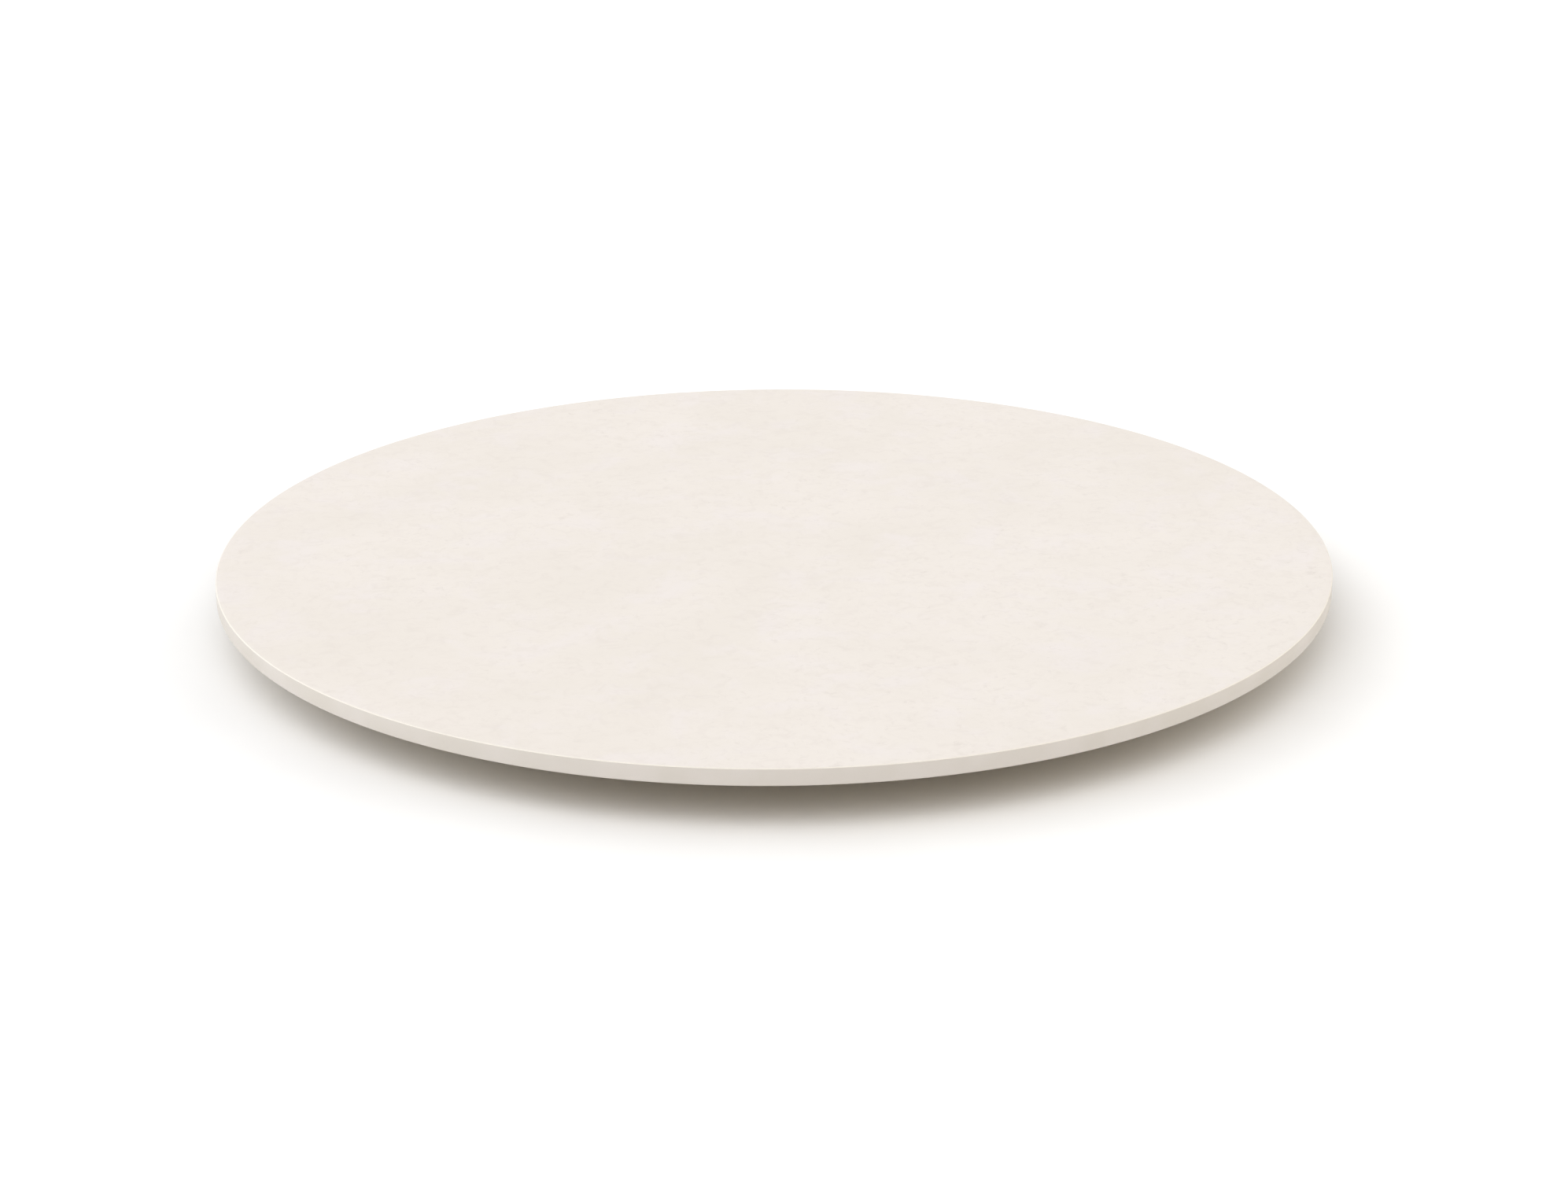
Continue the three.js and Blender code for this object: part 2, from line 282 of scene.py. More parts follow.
def cut(piece, cutters, smooth_angle=SMOOTH_ANGLE):
    """Takes the cutters out of the piece, and deletes them."""
    for cutter in cutters:
        bake_place(cutter)
    joined = join(cutters)
    modifier = piece.modifiers.new("cut", "BOOLEAN")
    modifier.operation = "DIFFERENCE"
    modifier.solver = "EXACT"
    modifier.object = joined
    graph = bpy.context.evaluated_depsgraph_get()
    result = bpy.data.meshes.new_from_object(piece.evaluated_get(graph))
    piece.modifiers.clear()
    old = piece.data
    piece.data = result
    bpy.data.meshes.remove(old)
    bpy.data.objects.remove(joined)
    tidy(piece, smooth_angle)
    return piece


def join(parts):
    """One object that holds the meshes of all the parts, which must not overlap."""
    work = bmesh.new()
    for part in parts:
        work.from_mesh(part.data)
    mesh = bpy.data.meshes.new(parts[0].name)
    work.to_mesh(mesh)
    work.free()
    whole = bpy.data.objects.new(parts[0].name, mesh)
    bpy.context.scene.collection.objects.link(whole)
    for part in parts:
        bpy.data.objects.remove(part)
    return whole


def rod(radius, z0, z1, segments=BORE_SEGMENTS):
    """A plain upright cylinder, to cut with."""
    return turned("cutter", [(0, z0), (radius, z0), (radius, z1), (0, z1)], segments)


def hex_rod(across_flats, z0, z1):
    """A hexagonal rod, to cut a socket with."""
    return rod(across_flats / math.sqrt(3), z0, z1, segments=6)


def lie_along(piece, angle, height):
    """Lays an upright piece down so that it points outwards at an angle round the axis."""
    piece.matrix_world = (
        Matrix.Translation((0, 0, height))
        @ Matrix.Rotation(angle, 4, "Z")
        @ Matrix.Rotation(math.pi / 2, 4, "Y")
    )
    return piece


# ------------------------------------------------------------------ places from the CAD model

def centre_of(node):
    low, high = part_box(node)
    return (low + high) / 2


def size_of(node):
    low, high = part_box(node)
    return high - low


def over(node, cutter):
    """The cutter, moved sideways to stand over a node's centre."""
    middle = centre_of(node)
    cutter.location = (middle.x, middle.y, 0)
    return cutter


def angle_of(node):
    """The angle of a node round the spin axis, in radians."""
    middle = centre_of(node)
    return math.atan2(middle.y, middle.x)


def numbered(prefix):
    """The CAD nodes called prefix_1, prefix_2 and so on, in order."""
    stem = prefix + "_"
    return sorted(name for name in frame["nodes"] if name.removeprefix(stem).isdigit())


def body_of(node):
    bodies = frame["record"]["behaviour"]["bodies"]
    return next(body for body, nodes in bodies.items() if node in nodes)


def slot_of(node):
    subparts = frame["record"]["subparts"]
    return next(part["material_slot"] for part in subparts if part["node"] == node)


def stand_for(piece, node, materials):
    """The piece takes the node's place: it rides on its body and takes the materials given."""
    piece.data.materials.clear()
    for material in materials:
        piece.data.materials.append(material)
    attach(piece, body_of(node))
    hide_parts(node)
    slot_of(node)


def copies(master, prefix, nodes, materials, place):
    """A copy of the master for each node, put where place(node) says. The master goes."""
    for node in nodes:
        piece = bpy.data.objects.new(f"{prefix}_{node.rpartition('_')[2]}", master.data)
        bpy.context.scene.collection.objects.link(piece)
        piece.matrix_world = place(node)
        stand_for(piece, node, materials)
    bpy.data.objects.remove(master)


# ------------------------------------------------------------------ node helpers

class NodeTree:
    """Short ways to add nodes to a tree."""

    def __init__(self, tree):
        self.nodes = tree.nodes
        self.links = tree.links

    def add(self, kind, **values):
        """A node, with its inputs or its own properties set by name."""
        node = self.nodes.new(kind)
        for name, value in values.items():
            socket = node.inputs.get(name.replace("_", " "))
            if socket is None:
                setattr(node, name, value)
            else:
                self.fill(socket, value)
        return node

    def fill(self, socket, value):
        """Links the value to the socket if it is a socket itself, or sets it there."""
        if isinstance(value, bpy.types.NodeSocket):
            self.links.new(value, socket)
        else:
            socket.default_value = value

    def math(self, operation, first, second):
        """The result of an operation on two numbers, each a value or a socket."""
        node = self.add("ShaderNodeMath", operation=operation)
        self.fill(node.inputs[0], first)
        self.fill(node.inputs[1], second)
        return node.outputs[0]

    def vector(self, operation, first, second=(0.0, 0.0, 0.0)):
        """The node of an operation on vectors. Which output counts depends on the operation."""
        node = self.add("ShaderNodeVectorMath", operation=operation)
        self.fill(node.inputs[0], first)
        self.fill(node.inputs[1], second)
        return node

    def blend(self, amount, first, second):
        """Mixes two colours, each a tuple or a socket, by an amount from 0 to 1."""
        node = self.add("ShaderNodeMix", data_type="RGBA")
        factor, colour_a, colour_b = 0, 6, 7  # the node has sockets for numbers in between
        mixed_colour = 2
        self.fill(node.inputs[factor], amount)
        self.fill(node.inputs[colour_a], first)
        self.fill(node.inputs[colour_b], second)
        return node.outputs[mixed_colour]


class Shader(NodeTree):
    """A new node material, and short ways to fill it in."""

    def __init__(self, name):
        self.material = bpy.data.materials.new(name)
        self.material.use_nodes = True
        super().__init__(self.material.node_tree)
        self.surface = self.nodes["Principled BSDF"]

    def place(self):
        """The point on the object, in metres, in the object's own frame."""
        return self.add("ShaderNodeTexCoord").outputs["Object"]

    def noise(self, vector, scale, detail=4.0, roughness=0.55, distortion=0.0):
        """A noise from 0 to 1, with about as many patches to the metre as scale says."""
        node = self.add(
            "ShaderNodeTexNoise",
            Vector=vector,
            Scale=scale,
            Detail=detail,
            Roughness=roughness,
            Distortion=distortion,
        )
        return node.outputs["Fac"]

    def spread(self, value, low, high, to_low=0.0, to_high=1.0):
        """Maps low..high to to_low..to_high, smoothly, and holds it there outside."""
        node = self.add(
            "ShaderNodeMapRange",
            interpolation_type="SMOOTHSTEP",
            Value=value,
            From_Min=low,
            From_Max=high,
            To_Min=to_low,
            To_Max=to_high,
        )
        return node.outputs[0]

    def swing(self, noise, to_low=0.0, to_high=1.0):
        """Spreads the middle of a noise, from 0.3 to 0.7, where most of its values lie."""
        return self.spread(noise, 0.3, 0.7, to_low, to_high)

    def bump(self, height, distance, under=None):
        """The bent normal for a height from 0 to 1, distance metres deep."""
        node = self.add("ShaderNodeBump", Height=height, Distance=distance, Strength=1.0)
        if under is not None:
            self.links.new(under, node.inputs["Normal"])
        return node.outputs["Normal"]

    def connect(self, **sockets):
        """Links or sets inputs of the surface shader."""
        for name, value in sockets.items():
            self.fill(self.surface.inputs[name.replace("_", " ")], value)
        return self.material


def colour(red, green, blue):
    """An sRGB colour, each channel from 0 to 255, as linear RGBA."""
    def linear(value):
        share = value / 255
        return share / 12.92 if share <= 0.04045 else ((share + 0.055) / 1.055) ** 2.4

    return (linear(red), linear(green), linear(blue), 1.0)


# ------------------------------------------------------------------ materials

def stone_face():
    """The honed face: pale warm cement with soft cool patches, faint wisps and grey flecks."""
    tree = Shader("stone_face")
    place = tree.place()
    clouds = tree.noise(place, 9.0, distortion=0.4)
    patches = tree.noise(place, 22.0, detail=5.0, roughness=0.6, distortion=0.5)
    wisps = tree.noise(place, 80.0, detail=5.0, roughness=0.65, distortion=1.0)
    flecks = tree.noise(place, 140.0, detail=5.0, roughness=0.7, distortion=0.5)
    finish = tree.blend(tree.swing(clouds), colour(213, 206, 199), colour(216, 209, 203))
    cool = tree.spread(patches, 0.48, 0.68, to_high=0.4)
    finish = tree.blend(cool, finish, colour(217, 210, 210))
    dark = tree.spread(wisps, 0.45, 0.75, to_high=0.4)
    finish = tree.blend(dark, finish, colour(205, 197, 191))
    specks = tree.spread(flecks, 0.55, 0.72)
    crowding = tree.spread(clouds, 0.4, 0.6, 0.15, 0.6)
    finish = tree.blend(tree.math("MULTIPLY", specks, crowding), finish, colour(202, 194, 188))
    relief = tree.bump(tree.noise(place, 900.0, roughness=0.6), 0.02 * MM)
    relief = tree.bump(wisps, 0.06 * MM, under=relief)
    return tree.connect(
        Base_Color=finish,
        Roughness=tree.swing(wisps, 0.5, 0.58),
        Specular_IOR_Level=0.35,
        Normal=relief,
    )


def stone_edge():
    """The ground edge: the stone's own body, finely grained, darkened as painted shade, no face
    pattern.
    """
    tree = Shader("stone_edge")
    place = tree.place()
    grain = tree.noise(place, 1100.0, roughness=0.7)
    drift = tree.noise(place, 25.0, detail=3.0, roughness=0.5)
    # both colours are set darker than the face's: painted shade on the upright band
    base = tree.blend(tree.swing(drift), colour(195, 188, 179), colour(200, 193, 186))
    finish = tree.blend(tree.spread(grain, 0.55, 0.8, to_high=0.4), base, colour(184, 176, 167))
    return tree.connect(
        Base_Color=finish,
        Roughness=tree.swing(grain, 0.42, 0.55),
        Specular_IOR_Level=0.5,
        Normal=tree.bump(grain, 0.04 * MM),
    )


def stone_arris():
    """The honed arris, coloured paler and creamier than the band below it as a painted highlight.
    """
    tree = Shader("stone_arris")
    grain = tree.noise(tree.place(), 700.0, roughness=0.6)
    return tree.connect(
        # these two colours are a painted highlight along the arris
        Base_Color=tree.blend(tree.swing(grain), colour(221, 214, 204), colour(217, 210, 201)),
        Roughness=tree.swing(grain, 0.48, 0.58),
        Specular_IOR_Level=0.35,
        Normal=tree.bump(grain, 0.02 * MM),
    )


def stone_back():
    """The unfinished back: darker and yellower, with the faint ribs of the press."""
    tree = Shader("stone_back")
    place = tree.place()
    ribs = tree.add(
        "ShaderNodeTexWave", Vector=place, Scale=40.0, Distortion=0.6, Detail=2.0, Detail_Scale=2.0
    ).outputs["Fac"]
    grain = tree.noise(place, 600.0, roughness=0.7)
    clouds = tree.noise(place, 14.0, roughness=0.6)
    base = tree.blend(tree.swing(clouds), colour(188, 174, 149), colour(196, 183, 160))
    finish = tree.blend(tree.spread(grain, 0.5, 0.8, to_high=0.5), base, colour(177, 163, 138))
    relief = tree.bump(grain, 0.08 * MM, under=tree.bump(ribs, 0.12 * MM))
    return tree.connect(Base_Color=finish, Roughness=tree.swing(grain, 0.65, 0.8), Normal=relief)


def lathe_marks(tree, scale):
    """Fine rings round the spin axis, as a turning tool leaves them, from 0 to 1."""
    x, y, z = tree.add("ShaderNodeSeparateXYZ", Vector=tree.place()).outputs
    squares = [tree.math("MULTIPLY", side, side) for side in (x, y)]
    radius = tree.math("SQRT", tree.math("ADD", *squares), 0.0)
    together = tree.add("ShaderNodeCombineXYZ", X=radius, Y=z).outputs[0]
    return tree.noise(together, scale, detail=3.0, roughness=0.7)


def aluminium():
    """Turned and anodised aluminium of the two races."""
    tree = Shader("turned_aluminium")
    marks = lathe_marks(tree, 3500.0)
    film = tree.noise(tree.place(), 30.0, roughness=0.6)
    finish = tree.blend(tree.swing(film), colour(196, 198, 200), colour(208, 210, 212))
    finish = tree.blend(tree.spread(marks, 0.55, 0.75, to_high=0.3), finish, colour(176, 178, 181))
    return tree.connect(
        Base_Color=finish,
        Metallic=1.0,
        Roughness=tree.swing(marks, 0.26, 0.42),
        Anisotropic=0.4,
        Normal=tree.bump(marks, 0.01 * MM),
    )


def zinc():
    """Zinc-plated steel of the screws: grey, faintly blue and yellow in patches."""
    tree = Shader("zinc_plate")
    place = tree.place()
    film = tree.noise(place, 260.0, roughness=0.6, distortion=0.5)
    pits = tree.noise(place, 2400.0, detail=3.0, roughness=0.6)
    finish = tree.blend(tree.spread(film, 0.35, 0.65), colour(176, 180, 184), colour(196, 194, 184))
    return tree.connect(
        Base_Color=finish,
        Metallic=1.0,
        Roughness=tree.swing(pits, 0.24, 0.4),
        Normal=tree.bump(pits, 0.01 * MM),
    )


def brass():
    """Machined brass of the threaded inserts."""
    tree = Shader("machined_brass")
    place = tree.place()
    film = tree.noise(place, 300.0, roughness=0.6)
    finish = tree.blend(tree.swing(film), colour(196, 160, 84), colour(212, 180, 108))
    return tree.connect(
        Base_Color=finish,
        Metallic=1.0,
        Roughness=tree.swing(film, 0.22, 0.38),
        Normal=tree.bump(tree.noise(place, 3000.0), 0.01 * MM),
    )


def ball_steel():
    """Polished bearing steel, with a thin uneven film of grease."""
    tree = Shader("ball_steel")
    grease = tree.noise(tree.place(), 500.0, roughness=0.6, distortion=0.6)
    finish = tree.blend(tree.spread(grease, 0.4, 0.7), colour(206, 208, 211), colour(190, 190, 188))
    return tree.connect(
        Base_Color=finish, Metallic=1.0, Roughness=tree.spread(grease, 0.4, 0.7, 0.06, 0.2)
    )


def nylon():
    """Moulded natural nylon of the ball cage."""
    tree = Shader("cage_nylon")
    place = tree.place()
    flow = tree.noise(place, 60.0, roughness=0.6, distortion=0.8)
    skin = tree.noise(place, 1800.0, detail=3.0, roughness=0.6)
    finish = tree.blend(tree.swing(flow), colour(226, 223, 212), colour(236, 234, 226))
    return tree.connect(
        Base_Color=finish,
        Roughness=tree.swing(skin, 0.38, 0.5),
        Subsurface_Weight=0.2,
        Subsurface_Radius=(2 * MM, 1.6 * MM, 1.2 * MM),
        Normal=tree.bump(skin, 0.02 * MM),
    )


def lacquer():
    """Black satin lacquer over fibreboard: faint orange peel, hazy patches and a little dust."""
    tree = Shader("black_lacquer")
    place = tree.place()
    peel = tree.noise(place, 420.0, detail=3.0, roughness=0.5)
    haze = tree.noise(place, 18.0, roughness=0.6, distortion=0.5)
    dust = tree.noise(place, 1500.0, detail=2.0, roughness=0.5)
    finish = tree.blend(tree.swing(haze), colour(35, 33, 32), colour(38, 36, 35))
    finish = tree.blend(tree.spread(dust, 0.7, 0.8, to_high=0.35), finish, colour(88, 84, 80))
    return tree.connect(
        Base_Color=finish,
        Roughness=tree.swing(haze, 0.38, 0.42),
        Coat_Weight=0.25,
        Coat_Roughness=0.3,
        Normal=tree.bump(peel, 0.05 * MM),
    )


def rubber():
    """Black moulded rubber, matt, with a fine grain and paler scuffs."""
    tree = Shader("foot_rubber")
    place = tree.place()
    grain = tree.noise(place, 1400.0, roughness=0.6)
    scuffs = tree.noise(place, 120.0, detail=5.0, roughness=0.7, distortion=0.8)
    finish = tree.blend(tree.spread(scuffs, 0.45, 0.75), colour(36, 36, 37), colour(58, 57, 56))
    return tree.connect(
        Base_Color=finish,
        Roughness=tree.swing(scuffs, 0.7, 0.86),
        Specular_IOR_Level=0.3,
        Normal=tree.bump(grain, 0.06 * MM),
    )


def floor_paper():
    """The plain pale floor. From below it lets the view through, so the underside shows."""
    tree = Shader("floor_paper")
    place = tree.place()
    fibres = tree.noise(place, 6.0, detail=3.0, roughness=0.5)
    tree.connect(
        Base_Color=tree.blend(tree.swing(fibres), *FLOOR_COLOURS),
        Roughness=0.9,
        Specular_IOR_Level=0.1,
    )
    clear = tree.add("ShaderNodeBsdfTransparent")
    below = tree.add("ShaderNodeNewGeometry").outputs["Backfacing"]
    mix = tree.add("ShaderNodeMixShader")
    tree.links.new(below, mix.inputs[0])
    tree.links.new(tree.surface.outputs[0], mix.inputs[1])
    tree.links.new(clear.outputs[0], mix.inputs[2])
    tree.links.new(mix.outputs[0], tree.nodes["Material Output"].inputs["Surface"])
    return tree.material


# ------------------------------------------------------------------ stone disc

def stone_disc():
    """The serving disc, with blind pockets for the inserts in its back."""
    low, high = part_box("serving_disc")
    radius = high.x
    arris = STONE_ARRIS
    edge = [
        (radius * DISC_LAST_RING, low.z),
        (radius - arris, low.z),
        (radius, low.z + arris),
        (radius, high.z - arris),
        (radius - arris, high.z),
        (radius * DISC_LAST_RING, high.z),
    ]
    bottom = flat_face(radius, DISC_RINGS, low.z)
    top = flat_face(radius, DISC_RINGS, high.z)[::-1]
    profile = bottom + rounded(edge, STONE_EDGE_ROUNDING) + top
    disc = turned("stone_disc", profile, DISC_SEGMENTS, smooth_angle=DISC_SMOOTH_ANGLE)
    pockets = []
    for node in numbered("threaded_insert"):
        size = size_of(node)
        floor_z = low.z + size.z + POCKET_RELIEF
        pocket = rod(size.x / 2 + POCKET_CLEARANCE, low.z - OVERSHOOT, floor_z)
        pockets.append(over(node, pocket))
    cut(disc, pockets, DISC_SMOOTH_ANGLE)
    stand_for(disc, "serving_disc", [stone_face(), stone_arris(), stone_edge(), stone_back()])
    for face in disc.data.polygons:
        face.material_index = stone_slot(face.center, radius, high.z)


def stone_slot(centre, radius, top_z):
    """The place in the disc's list of materials for a face of the mesh with this centre."""
    face, arris, edge, back = range(4)
    just_below_top = top_z - STONE_ARRIS * 0.02
    just_inside_arris = radius - STONE_ARRIS * 1.2
    if centre.z > just_below_top:
        return face
    if math.hypot(centre.x, centre.y) < just_inside_arris:
        return back
    return arris if centre.z > top_z - STONE_ARRIS else edge


# ------------------------------------------------------------------ screws and inserts

def threaded_rings(kind, z0, z1):
    """Rings of a threaded shank from z0 up to z1: its crests climb one pitch a turn."""
    radius = kind["shank"] / 2
    depth = kind["thread"]
    pitch = kind["pitch"]
    count = math.ceil((z1 - z0) / (pitch / THREAD_STEPS))

    def ring(z):
        def point(angle):
            phase = (z / pitch - angle / (2 * math.pi)) % 1.0
            crest = 1 - abs(2 * phase - 1)
            fade = min(1.0, (z - z0) / pitch, (z1 - z) / pitch)
            return (radius - depth * (1 - crest) * max(fade, 0.0), z)

        return point

    return [ring(z0 + (z1 - z0) * i / count) for i in range(count + 1)]


def sunk_screw(name, kind, length, head_radius):
    """A 90 degree sunk-head screw, its flat face at z = 0 and its tip down."""
    radius = kind["shank"] / 2
    cone = head_radius - radius
    tip = radius * 0.5
    neck = 0.6 * MM  # plain, between the thread and the cone
    rim = 0.25 * MM  # upright, above the cone
    bevel_width = 0.1 * MM
    bevel_height = 0.08 * MM
    point = [
        (0, -length),
        (radius - tip, -length),
        (radius - kind["thread"] * 0.5, -length + tip),
    ]
    head = [
        (radius, -cone),
        (head_radius, -rim),
        (head_radius, -bevel_height),
        (head_radius - bevel_width, 0),
        (0, 0),
    ]
    rings = [still(corner) for corner in point]
    rings += threaded_rings(kind, -length + tip * 1.2, -cone - neck)
    rings += [still(corner) for corner in head]
    screw = ring_grid(name, rings, SCREW_SEGMENTS, closed=False)
    return cut(screw, [hex_rod(kind["socket"], -cone, OVERSHOOT)])


def pan_screw(name, kind, length, head_radius, head_height):
    """A pan-head screw, the seat under its head at z = 0, its tip up and its dome down."""
    radius = kind["shank"] / 2
    flat = head_radius * 0.45  # the middle of the dome
    brim = 0.3 * MM  # the upright rim of the head
    neck = 0.3 * MM  # plain, between the head and the thread
    socket_end = -head_height * 0.35
    rings = [still((0, -head_height)), still((flat, -head_height))]
    for r, z in arc(0, 0, 1, -90, 0, steps=10)[1:]:
        rings.append(still((flat + (head_radius - flat) * r, -brim + (head_height - brim) * z)))
    rings += [still((head_radius, 0)), still((radius, 0))]
    rings += threaded_rings(kind, neck, length - radius)
    rings += [still((radius * 0.25, length - radius * 0.1)), still((0, length))]
    screw = ring_grid(name, rings, SCREW_SEGMENTS, closed=False)
    return cut(screw, [hex_rod(kind["socket"], -head_height - OVERSHOOT, socket_end)])


def threaded_insert(name, length, radius):
    """A brass insert with two knurled bands and a smooth bore, its mouth at z = 0."""
    bore = DISC_SCREW["shank"] / 2 + HOLE_CLEARANCE / 2
    valley = radius - KNURL_DEPTH
    waist = radius - 0.5 * MM  # the plain neck between the bands
    bevel = 0.35 * MM  # from a band down to the waist
    lower = (0.03, 0.44)  # where the bands start and end, as shares of the length
    upper = (0.56, 0.97)
    slant = 2.0  # knurls that a groove passes on its way up a band
    steps = 10

    def knurl(z, lean):
        def point(angle):
            wave = abs(((angle * KNURLS / (2 * math.pi) + lean) % 1.0) * 2 - 1)
            return (radius - KNURL_DEPTH * wave, z)

        return point

    def band(start, end, lean):
        span = end - start
        counts = range(steps + 1)
        return [knurl(length * (start + span * i / steps), lean * i / steps) for i in counts]

    rings = [still((bore, 0)), still((valley, 0))]
    rings += band(*lower, slant)
    rings.append(still((waist, length * lower[1] + bevel)))
    rings.append(still((waist, length * upper[0] - bevel)))
    rings += band(*upper, -slant)
    rings += [still((valley, length)), still((bore, length))]
    return ring_grid(name, rings, KNURLS * KNURL_SEGMENTS, closed=True)


def at_node(node, z, flipped=False):
    """The placement over a node's centre, at the height z."""
    middle = centre_of(node)
    turn = Matrix.Rotation(math.pi, 4, "X") if flipped else Matrix.Identity(4)
    return Matrix.Translation((middle.x, middle.y, z)) @ turn


def on_bottom(node):
    """The placement over a node's centre, at its lowest level."""
    return at_node(node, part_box(node)[0].z)


def fasteners(zinc_plate, brass_metal):
    """The inserts and the screws, but for the set screw. The copies of a kind share a mesh."""

    def head_down(node):
        return at_node(node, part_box(node)[0].z, flipped=True)

    def head_up(node):
        return at_node(node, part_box(node)[1].z)

    def on_seat(node):
        return at_node(node, foot_seat_z())

    inserts = numbered("threaded_insert")
    size = size_of(inserts[0])
    master = threaded_insert("insert_mesh", size.z, size.x / 2)
    copies(master, "brass_insert", inserts, [brass_metal], on_bottom)

    disc_screws = numbered("disc_screw")
    size = size_of(disc_screws[0])
    master = sunk_screw("disc_screw_mesh", DISC_SCREW, size.z, size.x / 2)
    copies(master, "machine_screw", disc_screws, [zinc_plate], head_down)

    race_screws = numbered("race_screw")
    size = size_of(race_screws[0])
    master = sunk_screw("race_screw_mesh", WOOD_SCREW, size.z, size.x / 2)
    copies(master, "sunk_wood_screw", race_screws, [zinc_plate], head_up)

    foot_screws = numbered("foot_screw")
    size = size_of(foot_screws[0])
    length = size.z - FOOT_HEAD_HEIGHT
    master = pan_screw("foot_screw_mesh", WOOD_SCREW, length, size.x / 2, FOOT_HEAD_HEIGHT)
    copies(master, "pan_wood_screw", foot_screws, [zinc_plate], on_seat)


def foot_seat_z():
    """The height of the rubber that a foot screw's head bears on."""
    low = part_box("foot_screw_1")[0]
    return low.z + FOOT_HEAD_HEIGHT


# ------------------------------------------------------------------ bearing

class Bearing:
    """The sizes of the bearing, from the boxes of its CAD nodes."""

    ball = centre_of("ball_01")
    pitch = math.hypot(ball.x, ball.y)
    ball_radius = size_of("ball_01").z / 2
    groove = ball_radius + GROOVE_CLEARANCE
    inner_low, inner_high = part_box("inner_race")
    outer_low, outer_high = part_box("outer_race")
    inner_edge = max(inner_high.x, inner_high.y)
    outer_edge = 2 * pitch - inner_edge


def race_profile(wall, away, low_z, high_z, bevel_low, bevel_high):
    """The section of a race: its grooved wall, and its plain side, RACE_WIDTH away.

    away is 1 or -1, the way from the wall to the plain side. The bevels are the plain side's.
    """
    half_angle = math.degrees(math.acos(abs(wall - Bearing.pitch) / Bearing.groove))
    side = 180 if wall < Bearing.pitch else 0
    sweep = half_angle if wall < Bearing.pitch else -half_angle
    start, end = side + sweep, side - sweep
    groove = arc(Bearing.pitch, Bearing.ball.z, Bearing.groove, start, end, GROOVE_STEPS)
    plain = wall + away * RACE_WIDTH
    lower = [
        (plain, low_z + bevel_low),
        (plain - away * bevel_low, low_z),
        (wall + away * RACE_ROUNDING, low_z),
        (wall, low_z + RACE_ROUNDING),
    ]
    upper = [
        (wall, high_z - RACE_ROUNDING),
        (wall + away * RACE_ROUNDING, high_z),
        (plain - away * bevel_high, high_z),
        (plain, high_z - bevel_high),
    ]
    return lower + groove + upper


def sunk_hole(node, kind, face_z, end_z, up):
    """The cutter for a sunk screw that goes in at face_z. up is 1 where its head faces up."""
    shank = kind["shank"] / 2 + HOLE_CLEARANCE
    head = size_of(node).x / 2 + HOLE_CLEARANCE
    cone = (size_of(node).x - kind["shank"]) / 2
    profile = [
        (0, end_z),
        (shank, end_z),
        (shank, face_z - up * (cone + HEAD_RELIEF)),
        (head, face_z - up * HEAD_RELIEF),
        (head, face_z + up * OVERSHOOT),
        (0, face_z + up * OVERSHOOT),
    ]
    return over(node, turned("cutter", profile, BORE_SEGMENTS))


def inner_race(metal):
    """The race that turns with the disc, its screw heads sunk into its lower face."""
    low, high = Bearing.inner_low, Bearing.inner_high
    bevels = (RACE_CHAMFER, RACE_ROUNDING)
    profile = race_profile(Bearing.inner_edge, -1, low.z, high.z, *bevels)
    race = turned("turning_race", profile, RING_SEGMENTS, closed=True)
    far_side = high.z + OVERSHOOT
    screws = numbered("disc_screw")
    cut(race, [sunk_hole(node, DISC_SCREW, low.z, far_side, -1) for node in screws])
    stand_for(race, "inner_race", [metal])


def outer_race(metal):
    """The race that stays still, with the hole that the balls are loaded by in its side."""
    low, high = Bearing.outer_low, Bearing.outer_high
    bevels = (RACE_ROUNDING, RACE_CHAMFER)
    profile = race_profile(Bearing.outer_edge, 1, low.z, high.z, *bevels)
    race = turned("fixed_race", profile, RING_SEGMENTS, closed=True)
    far_side = low.z - OVERSHOOT
    screws = numbered("race_screw")
    cutters = [sunk_hole(node, WOOD_SCREW, high.z, far_side, 1) for node in screws]
    outside = Bearing.outer_edge + RACE_WIDTH + OVERSHOOT
    loading = rod(Bearing.ball_radius + LOADING_CLEARANCE, Bearing.pitch, outside)
    cutters.append(lie_along(loading, angle_of("loading_hole_screw"), Bearing.ball.z))
    cut(race, cutters)
    stand_for(race, "outer_race", [metal])


def loading_hole_screw(metal):
    """The set screw that closes the loading hole, threaded, with a socket in its outer end."""
    node = "loading_hole_screw"
    radius = size_of(node).z / 2
    kind = {"shank": 2 * radius, "thread": 0.4 * MM, "pitch": 1.0 * MM}
    bevel_width = 0.5 * MM
    bevel_height = 0.1 * MM
    end = set_screw_length() / 2
    rings = [still((0, -end)), still((radius - bevel_width, -end))]
    rings += threaded_rings(kind, -end + bevel_height, end - bevel_height)
    rings += [still((radius - bevel_width, end)), still((0, end))]
    plug = ring_grid("loading_hole_plug", rings, SCREW_SEGMENTS, closed=False)
    socket_floor = end / 3
    cut(plug, [hex_rod(radius, socket_floor, 2 * end)])
    lie_along(plug, angle_of(node), Bearing.ball.z)
    plug.matrix_world.translation = centre_of(node)
    stand_for(plug, node, [metal])


def set_screw_length():
    """The set screw's length along its own axis, between the groove and the race's rim."""
    inner_end = Bearing.pitch + Bearing.groove
    outer_end = Bearing.outer_edge + RACE_WIDTH - HEAD_RELIEF - RACE_CHAMFER
    return outer_end - inner_end


